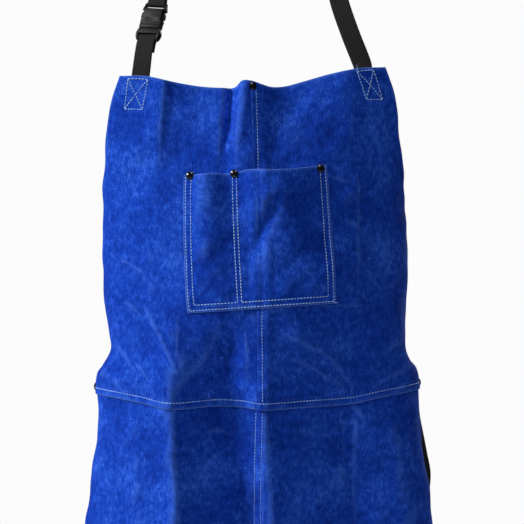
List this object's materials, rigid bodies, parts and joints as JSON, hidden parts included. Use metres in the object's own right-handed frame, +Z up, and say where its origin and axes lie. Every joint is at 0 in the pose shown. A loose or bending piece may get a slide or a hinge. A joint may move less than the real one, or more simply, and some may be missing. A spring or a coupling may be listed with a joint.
{
  "type": "welding apron",
  "caption": "Split-leather welding apron: bib over a seamed skirt, divided patch pocket, riveted corners, and webbing neck and waist straps that close with side-release buckles.",
  "frame": {"origin": "where the neck strap's inner face rests on the nape of the wearer's neck", "axes": "+Z up, the apron's front faces -Y, +X to the right seen from the front"},
  "size_m": [0.4886, 0.2515, 1.2722],
  "materials": {
    "leather": "royal blue dyed split leather with a matt, mottled nap",
    "webbing": "black woven polypropylene webbing, dull",
    "plastic": "black moulded plastic, satin",
    "rivet": "black-plated double-cap rivet, polished dome"
  },
  "bodies": {
    "apron": {"bib_panel_left": "leather", "bib_panel_right": "leather", "skirt_panel_left": "leather", "skirt_panel_right": "leather", "pocket": "leather", "centre_rivet_cap": "rivet", "centre_rivet_post": "rivet", "pocket_rivet_left_cap": "rivet", "pocket_rivet_left_post": "rivet", "pocket_rivet_middle_cap": "rivet", "pocket_rivet_middle_post": "rivet", "pocket_rivet_right_cap": "rivet", "pocket_rivet_right_post": "rivet", "waist_rivet_left_cap": "rivet", "waist_rivet_left_post": "rivet", "waist_rivet_right_cap": "rivet", "waist_rivet_right_post": "rivet", "neck_strap_short": "webbing", "neck_strap_long": "webbing", "waist_strap_right": "webbing", "waist_strap_left": "webbing", "neck_buckle_socket": "plastic", "waist_buckle_socket": "plastic"},
    "neck_tongue": {"neck_buckle_tongue": "plastic"},
    "neck_prong_right": {"neck_buckle_prong_right": "plastic"},
    "neck_prong_left": {"neck_buckle_prong_left": "plastic"},
    "waist_tongue": {"waist_buckle_tongue": "plastic"},
    "waist_prong_right": {"waist_buckle_prong_right": "plastic"},
    "waist_prong_left": {"waist_buckle_prong_left": "plastic"}
  },
  "joints": [
    {"name": "neck_buckle_release", "type": "slide", "parent": "apron", "child": "neck_tongue", "axis": [-0.2351, -0.3402, -0.9105], "range_m": [0, 0.026], "deforming": ["neck_strap_short", "neck_buckle_prong_left", "neck_buckle_prong_right"]},
    {"name": "neck_prong_right_press", "type": "hinge", "parent": "neck_tongue", "child": "neck_prong_right", "pos_m": [-0.13051, -0.15077, -0.12695], "axis": [-0.3581, -0.8405, 0.4065], "range_deg": [0, 9], "stiffness_Nm_per_rad": 0.6},
    {"name": "neck_prong_left_press", "type": "hinge", "parent": "neck_tongue", "child": "neck_prong_left", "pos_m": [-0.15039, -0.14149, -0.12528], "axis": [-0.3581, -0.8405, 0.4065], "range_deg": [-9, 0], "stiffness_Nm_per_rad": 0.6},
    {"name": "waist_buckle_release", "type": "slide", "parent": "apron", "child": "waist_tongue", "axis": [0.6919, -0.722, 0], "range_m": [0, 0.026], "deforming": ["waist_strap_right", "waist_buckle_prong_left", "waist_buckle_prong_right"]},
    {"name": "waist_prong_right_press", "type": "hinge", "parent": "waist_tongue", "child": "waist_prong_right", "pos_m": [0.19106, -0.02016, -0.605], "axis": [0.722, 0.6919, 0], "range_deg": [0, 9], "stiffness_Nm_per_rad": 0.6},
    {"name": "waist_prong_left_press", "type": "hinge", "parent": "waist_tongue", "child": "waist_prong_left", "pos_m": [0.19106, -0.02016, -0.583], "axis": [0.722, 0.6919, 0], "range_deg": [-9, 0], "stiffness_Nm_per_rad": 0.6}
  ],
  "couplings": [
    {"joint": "neck_prong_left_press", "follows": "neck_prong_right_press", "ratio": -1},
    {"joint": "waist_prong_left_press", "follows": "waist_prong_right_press", "ratio": -1}
  ]
}
